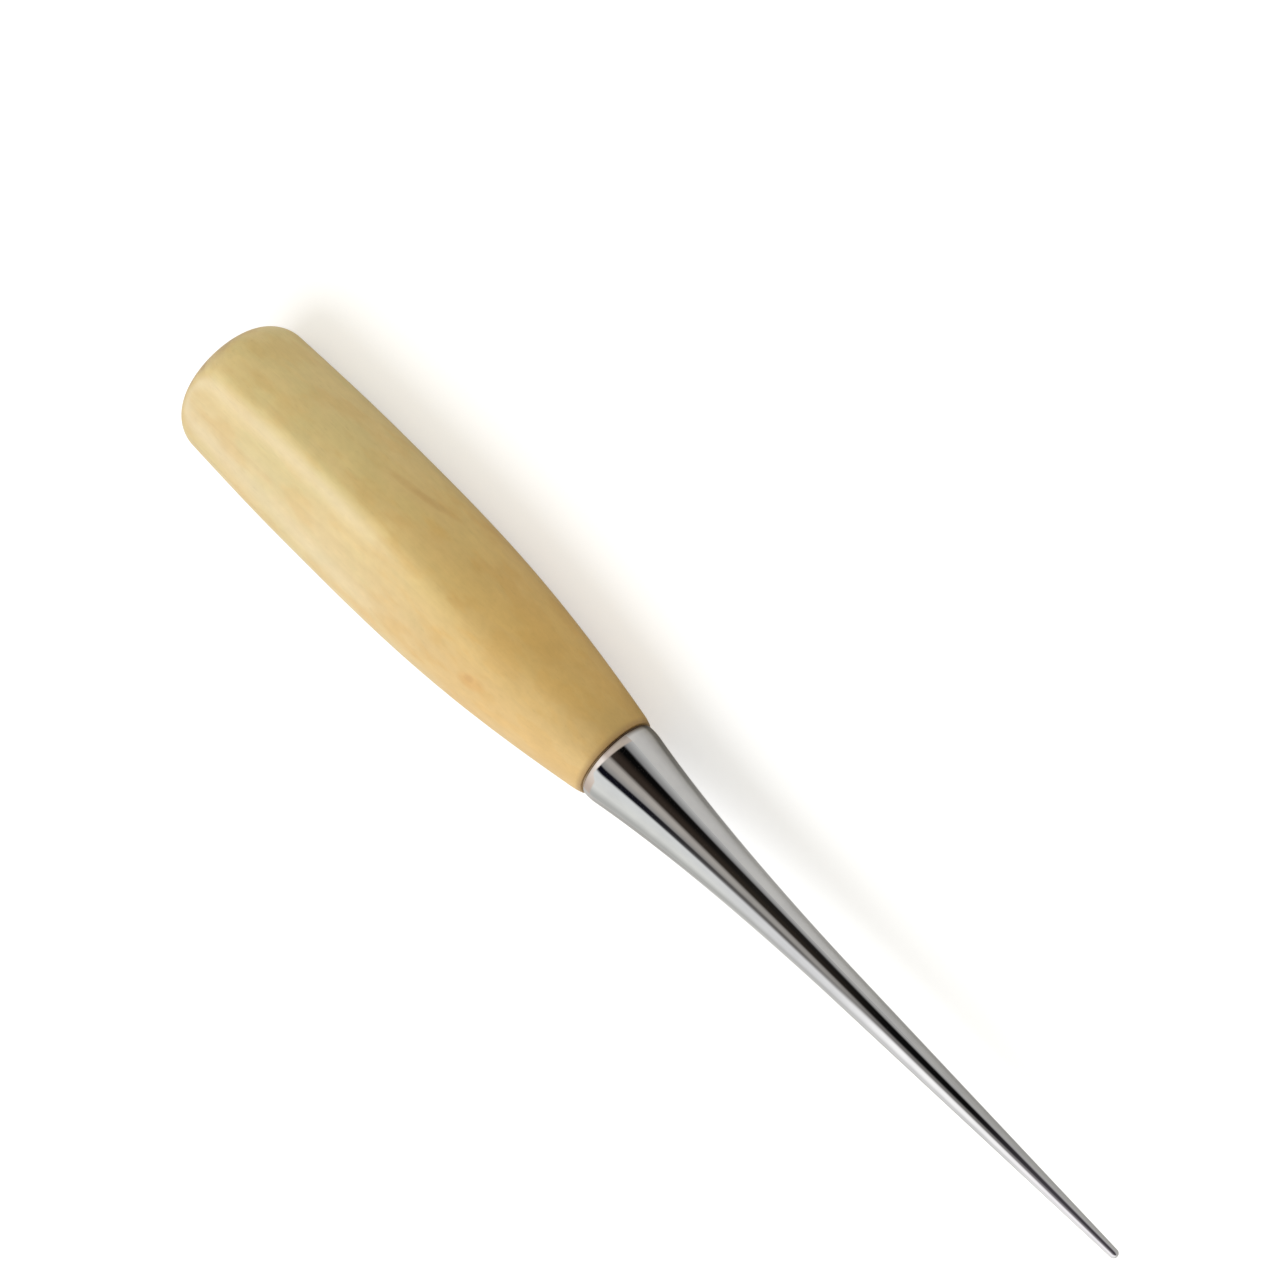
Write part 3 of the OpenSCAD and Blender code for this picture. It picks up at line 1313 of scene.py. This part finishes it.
@dataclass
class AdhesiveBed(Piece):
    """The cured adhesive: a sleeve round the tang and a fine film at the joint.

    Attributes:
        rim_depth: How far the film's rim wanders in, in millimetres.
        rim_waves: The waves of that wander round the axis.
        rim_steps: Steps across the rim.
    """

    name: str = "adhesive_bed"
    node: str = "adhesive"
    slot: Slot = Slot.ADHESIVE
    finish: AdhesiveFinish = AdhesiveFinish()
    rim_depth: float = 0.03
    rim_waves: tuple[Wave, ...] = ((3, 0.4, 1.0), (7, 1.9, 1.0), (13, 0.0, 1.0))
    rim_steps: int = 8

    def mesh(self) -> bpy.types.Mesh:
        """Builds the adhesive's mesh: out along sleeve and film, back along the tang.

        The rim's radius is the film's less a small ripple round the axis, and it
        bulges by a half circle across the film's thickness.

        Returns:
            The mesh.
        """
        s = self.sizes
        bulge = s.film_t / 2
        centre = [s.seat_r - s.film_recess - bulge, s.handle_l + bulge]
        rim = arc(centre, bulge, 0, 180, self.rim_steps)
        chamfer_r = s.tang_r - s.tang_chamfer
        sleeve = [[chamfer_r, s.tang_end_x], [s.bore_r, s.tang_end_x], [s.bore_r, s.handle_l]]
        path = np.vstack([sleeve, rim, tang_outline(s)[:-1]])
        radius = with_key_flats(s, path[:, 1], path[:, 0], self.columns)
        radius[1] = s.bore_r
        wave = ripple(round_angles(self.columns), self.rim_waves)
        radius[len(sleeve) : len(sleeve) + len(rim)] += self.rim_depth * (wave - 1) / 2
        return turned_mesh(self.name, s, path[:, 1], radius, Closing.LOOP, self.crease)


@dataclass(frozen=True)
class TentWall:
    """One stretch of the tent along the tool, with bands round the tool's axis.

    Attributes:
        starts: Places along X between which the stretch before it runs into it,
            in millimetres, straight above the tool.
        bands: Its bands in order, each with the angle where it starts, in degrees
            from +Z towards -Y, the angle over which the band before it runs into
            it, and its brightness and tint.
        slant: How far its starts move along X with each degree round the axis.
        step: How far they step along X on the tent's -Y side.
    """

    starts: Span
    bands: tuple[Band, ...]
    slant: float = 0.0
    step: float = 0.0

    def stops(self) -> list[tuple[float, Colour]]:
        """Turns the bands into the stops of a colour ramp over a full turn.

        Returns:
            Positions from 0 at -180 degrees to 1 at 180, each with its colour.
        """
        stops = [(0.0, self.bands[0][2])]
        for (_, _, before), (start, soft, colour) in zip(self.bands, self.bands[1:]):
            stops.append(((start - soft / 2 + 180) / 360, before))
            stops.append(((start + soft / 2 + 180) / 360, colour))
        return stops


@dataclass(frozen=True)
class Tent:
    """A round white tent with dark openings, which only reflections show.

    Attributes:
        sizes: The tool's sizes, which place its axis.
        radius: Its radius about the tool's axis, in millimetres.
        half_length: Half its length.
        columns: Number of columns round it.
        step_turn: Share of a full turn over which its walls' starts step.
        walls: Its stretches along the tool, from the butt to the point.
    """

    sizes: ToolSizes
    radius: float = 80.0
    half_length: float = 2500.0
    columns: int = 96
    step_turn: Span = (0.57, 0.63)
    walls: tuple[TentWall, ...] = (
        TentWall((0.0, 0.0), (
            (-180.0, 0.0, (0.66, 0.655, 0.65)),
            (-48.0, 24.0, (0.80, 0.785, 0.77)),
            (-19.0, 16.0, (1.26, 1.25, 1.23)),
            (14.0, 20.0, (1.02, 1.00, 0.98)),
            (48.0, 30.0, (0.83, 0.82, 0.80)),
        )),
        TentWall((-190.0, -130.0), (
            (-180.0, 0.0, (0.74, 0.66, 0.60)),
            (-90.0, 40.0, (0.70, 0.60, 0.50)),
            (-48.0, 24.0, (0.86, 0.73, 0.64)),
            (-19.0, 16.0, (1.38, 1.25, 1.15)),
            (14.0, 20.0, (1.12, 1.00, 0.90)),
            (48.0, 30.0, (0.92, 0.77, 0.66)),
            (70.0, 14.0, (0.80, 0.67, 0.58)),
        )),
        TentWall((-31.5, -27.5), (
            (-180.0, 0.0, (0.72, 0.73, 0.71)),
            (-87.0, 18.0, (0.38, 0.38, 0.38)),
            (-73.0, 6.0, (0.003, 0.003, 0.003)),
            (-51.0, 14.0, (0.050, 0.036, 0.028)),
            (-29.0, 9.0, (0.62, 0.58, 0.53)),
            (-10.0, 12.0, (0.40, 0.39, 0.38)),
            (-1.0, 4.0, (0.006, 0.006, 0.012)),
            (16.0, 6.0, (1.03, 1.06, 1.05)),
            (38.0, 20.0, (1.07, 1.09, 1.05)),
            (67.0, 24.0, (0.68, 0.69, 0.66)),
        ), slant=-0.12, step=16.0),
        TentWall((-3.0, 12.0), (
            (-180.0, 0.0, (0.72, 0.72, 0.70)),
            (-89.0, 16.0, (0.40, 0.40, 0.40)),
            (-76.0, 8.0, (0.02, 0.018, 0.016)),
            (-50.0, 14.0, (0.035, 0.028, 0.022)),
            (-28.0, 12.0, (0.50, 0.48, 0.45)),
            (-4.5, 10.0, (0.19, 0.18, 0.17)),
            (14.5, 14.0, (1.04, 1.05, 1.06)),
            (64.0, 24.0, (0.75, 0.75, 0.74)),
        )),
        TentWall((13.0, 31.5), (
            (-180.0, 0.0, (0.60, 0.60, 0.59)),
            (-74.0, 16.0, (0.006, 0.006, 0.006)),
            (-24.0, 14.0, (0.30, 0.29, 0.28)),
            (3.0, 18.0, (1.50, 1.50, 1.50)),
            (52.0, 30.0, (1.00, 1.00, 1.00)),
        )),
        TentWall((44.0, 62.0), (
            (-180.0, 0.0, (0.61, 0.60, 0.61)),
            (-73.0, 20.0, (0.080, 0.072, 0.084)),
            (-24.0, 14.0, (0.31, 0.29, 0.31)),
            (4.0, 18.0, (1.45, 1.42, 1.46)),
            (52.0, 30.0, (1.13, 1.12, 1.13)),
            (74.0, 14.0, (1.42, 1.41, 1.42)),
        )),
    )

    def material(self) -> bpy.types.Material:
        """Builds the tent's light.

        A place on the tent takes its colour from the bands by its angle round the
        tool's axis, and the stretches run into each other along X.

        Returns:
            The material.
        """
        material, desk = new_material("tent_light")
        x, y, z = desk.xyz
        turn = desk.maths("ARCTAN2", -y, z - self.sizes.axis_height) / (2 * math.pi) + 0.5
        ramps = [
            desk.node("ShaderNodeValToRGB", {"stops": wall.stops()}, {0: turn}).outputs[0]
            for wall in self.walls
        ]
        seen = ramps[0]
        for wall, ramp in zip(self.walls[1:], ramps[1:]):
            along = x - (turn - 0.5) * (360 * wall.slant)
            if wall.step:
                along = along - turn.rise(*self.step_turn) * wall.step
            seen = desk.mix(along.rise(*wall.starts), seen, ramp)
        desk.surface(desk.shine(seen))
        material.cycles.emission_sampling = "NONE"
        return material

    def build(self) -> None:
        """Puts the tent up round the tool, seen by reflections alone.

        A point stands at the radius times the angle's sine in Y and its cosine in
        Z off the tool's axis, at each end of the tent.
        """
        angle = round_angles(self.columns)
        y, z = self.radius * np.sin(angle), self.radius * np.cos(angle) + self.sizes.axis_height
        ends = (-self.half_length, self.half_length)
        points = np.vstack([np.column_stack([np.full(self.columns, x), y, z]) for x in ends])
        at = np.arange(self.columns)
        after = np.roll(at, -1)
        faces = np.column_stack([at, after, after + self.columns, at + self.columns])
        mesh = bpy.data.meshes.new("reflection_tent")
        mesh.from_pydata((points * MM).tolist(), [], faces.tolist())
        mesh.materials.append(self.material())
        tent = new_object("reflection_tent", mesh)
        tent.visible_camera = tent.visible_diffuse = tent.visible_shadow = False


@dataclass(frozen=True)
class Studio:
    """Soft light from above, a pale floor and a white tent for the reflections.

    The floor is dull, with a little light of its own. The camera sees that light,
    which makes the floor white and leaves the tool's shadow on it. Reflections
    see the floor with its own share, and with shadows painted on it beside the tool.

    Attributes:
        sizes: The tool's sizes.
        ambient: Even light on dull surfaces.
        sun: Strength of the soft light from above.
        sun_colour: Its tint.
        sun_from: Direction that it comes from.
        sun_spread: Its spread in degrees.
        floor: Colour of the floor.
        floor_shadow: Its colour under the shadows painted on it, which only reflections see.
        floor_lift: Light of its own that the floor shows to the camera.
        floor_glow: Light of its own that it shows to reflections.
        floor_warm: That light beside the handle.
        floor_half: Half the floor's side in metres.
        floor_drop: How far it lies under the tool, in millimetres.
        far_side: Places along Y between which the floor's +Y side comes in.
        near_side: The same for its -Y side.
        shadow_under_joint: The shadow painted on the floor under the joint, on the +Y side.
        shadow_towards_point: The shadow painted on the floor towards the point, on the +Y side.
        shadow_beside_nose: The shadow painted on the floor beside the handle's nose, on the -Y
            side.
        glow_end: Places along X between which the glow ends.
        near_glow: Where the glow is on the -Y side.
        warm_from: Places along X between which it turns warm.
    """

    sizes: ToolSizes
    ambient: Colour = (0.62, 0.595, 0.53)
    sun: float = 1.45
    sun_colour: Colour = (0.90, 0.94, 1.0)
    sun_from: Triple = (0.0, -0.5, 0.866)
    sun_spread: float = 50.0
    floor: Colour = (0.70, 0.70, 0.70)
    floor_shadow: Colour = (0.42, 0.42, 0.42)
    floor_lift: float = 0.50
    floor_glow: float = 0.11
    floor_warm: Colour = (0.18, 0.164, 0.153)
    floor_half: float = 4.0
    floor_drop: float = 0.02
    far_side: Span = (0.0, 4.0)
    near_side: Span = (-2.0, -6.0)
    shadow_under_joint: Region = Region((16.0, -8.0), (9.0, 6.0))
    shadow_towards_point: Region = Region((30.0, 52.0), (0.0, 4.0), 0.35)
    shadow_beside_nose: Region = Region((10.0, -2.0), (-2.0, -6.0), 0.4)
    glow_end: Span = (40.0, 14.0)
    near_glow: Region = Region((-2.0, 10.0), (-2.0, -6.0))
    warm_from: Span = (-8.0, -16.0)

    def world(self) -> None:
        """Builds the world: white to the camera and to reflections past the tent."""
        world = bpy.data.worlds.new("white_room")
        world.use_nodes = True
        bpy.context.scene.world = world
        desk = NodeDesk(world.node_tree)
        white = desk.rays("Is Camera Ray", "Is Glossy Ray", "Is Transmission Ray")
        seen = desk.mix(white, self.ambient, (1.0, 1.0, 1.0))
        light = desk.node("ShaderNodeBackground", None, {"Color": seen, "Strength": 1.0})
        desk.node("ShaderNodeOutputWorld", None, {"Surface": light.outputs[0]})

    def lamp(self) -> None:
        """Adds the soft light from above."""
        data = bpy.data.lights.new("soft_overhead", "SUN")
        data.energy = self.sun
        data.color = self.sun_colour
        data.angle = math.radians(self.sun_spread)
        lamp = new_object("soft_overhead", data)
        lamp.rotation_euler = Vector(self.sun_from).to_track_quat("Z", "Y").to_euler()
        lamp.visible_glossy = False

    def floor_material(self) -> bpy.types.Material:
        """Builds the floor's material.

        Returns:
            The material.
        """
        material, desk = new_material("pale_floor")
        mirror = desk.rays("Is Glossy Ray", "Is Transmission Ray")
        lift = desk.grey(desk.rays("Is Camera Ray") * self.floor_lift)
        x, y, _ = desk.xyz
        # Painted shadows on the floor, which only reflections see: under the joint, towards the
        # point and beside the nose.
        under = self.shadow_under_joint.mask(desk) * y.rise(*self.far_side)
        glow = (1.0 - y.rise(*self.near_side)) * (1.0 - under) * x.rise(*self.glow_end)
        glow = desk.grey((glow + self.near_glow.mask(desk)) * self.floor_glow)
        glow = desk.mix(x.rise(*self.warm_from), glow, self.floor_warm)
        painted_shadow = under + self.shadow_towards_point.mask(desk) + self.shadow_beside_nose.mask(desk)
        seen = desk.mix(mirror * painted_shadow, self.floor, self.floor_shadow)
        dull = desk.node("ShaderNodeBsdfDiffuse", None, {"Color": seen})
        own = desk.shine(desk.mix(mirror, lift, glow))
        inputs = {0: dull.outputs[0], 1: own.outputs[0]}
        desk.surface(desk.node("ShaderNodeAddShader", None, inputs))
        return material

    def lay_floor(self) -> None:
        """Lays the floor."""
        h, z = self.floor_half, -self.floor_drop * MM
        mesh = bpy.data.meshes.new("studio_floor")
        mesh.from_pydata([(-h, -h, z), (h, -h, z), (h, h, z), (-h, h, z)], [], [(0, 1, 2, 3)])
        mesh.materials.append(self.floor_material())
        new_object("studio_floor", mesh)

    def build(self) -> None:
        """Builds the world, the light, the floor and the tent."""
        self.world()
        self.lamp()
        self.lay_floor()
        tent = Tent(self.sizes)
        tent.build()
        LOG.info("studio: floor, overhead light, tent of %d walls", len(tent.walls))


@dataclass(frozen=True)
class Viewpoint:
    """The camera, set by how it sees the tool.

    Attributes:
        sizes: The tool's sizes, which place its middle.
        tilt: Angle by which the tool's axis comes out of the picture plane with
            its point towards the camera, in degrees.
        flat_turn: Angle round the axis from the view direction to the flat.
        slant: Angle of the axis below the picture's horizontal, in degrees.
        distance: Distance of the camera's plane from the tool's middle, in
            millimetres.
        aside: How far the camera stands to the right and up in its own plane.
        focal_px: Focal length in pixels of the square picture.
        picture_px: Side of the square picture in pixels.
        sensor_mm: Width of the sensor.
        clip: Nearest and farthest distance that it sees, in metres.
    """

    sizes: ToolSizes
    tilt: float = 18.18
    flat_turn: float = 36.0
    slant: float = 44.445
    distance: float = 600.0
    aside: Span = (-1.23, 18.49)
    focal_px: float = 4946.4
    picture_px: float = 1280.0
    sensor_mm: float = 36.0
    clip: Span = (0.01, 50.0)

    def build(self) -> None:
        """Adds the camera and makes it the scene's."""
        tilt, turn, slant = (math.radians(a) for a in (self.tilt, self.flat_turn, self.slant))
        level = math.cos(tilt)
        back = Vector((math.sin(tilt), level * math.sin(turn), level * math.cos(turn)))
        side = Vector((0.0, -math.cos(turn), math.sin(turn)))
        axis = (Vector((1.0, 0.0, 0.0)) - math.sin(tilt) * back) / level
        right = math.cos(slant) * axis - math.sin(slant) * side
        up = -math.sin(slant) * axis - math.cos(slant) * side
        place = Vector((0.0, 0.0, self.sizes.axis_height)) + self.distance * back
        place += self.aside[0] * right + self.aside[1] * up
        data = bpy.data.cameras.new("photo_camera")
        data.sensor_width = self.sensor_mm
        data.lens = self.focal_px / self.picture_px * self.sensor_mm
        data.clip_start, data.clip_end = self.clip
        camera = new_object("photo_camera", data)
        turned = Matrix((right, up, back)).transposed().to_4x4()
        camera.matrix_world = Matrix.Translation(place * MM) @ turned
        bpy.context.scene.camera = camera


@dataclass
class Bradawl:
    """The whole tool: its three pieces in the order in which they are put together."""

    sizes: ToolSizes = field(default_factory=ToolSizes)

    def build(self) -> list[bpy.types.Object]:
        """Builds the pieces and gives their objects."""
        pieces = (Handle(self.sizes), AdhesiveBed(self.sizes), Spike(self.sizes))
        return [piece.build() for piece in pieces]


def main() -> None:
    """Loads the frame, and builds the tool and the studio."""
    logging.basicConfig(level=logging.INFO, format="%(name)s: %(message)s")
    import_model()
    tool = Bradawl()
    tool.build()
    Studio(tool.sizes).build()
    Viewpoint(tool.sizes).build()
    bpy.context.scene.view_settings.view_transform = "Standard"


if __name__ == "__main__":
    main()
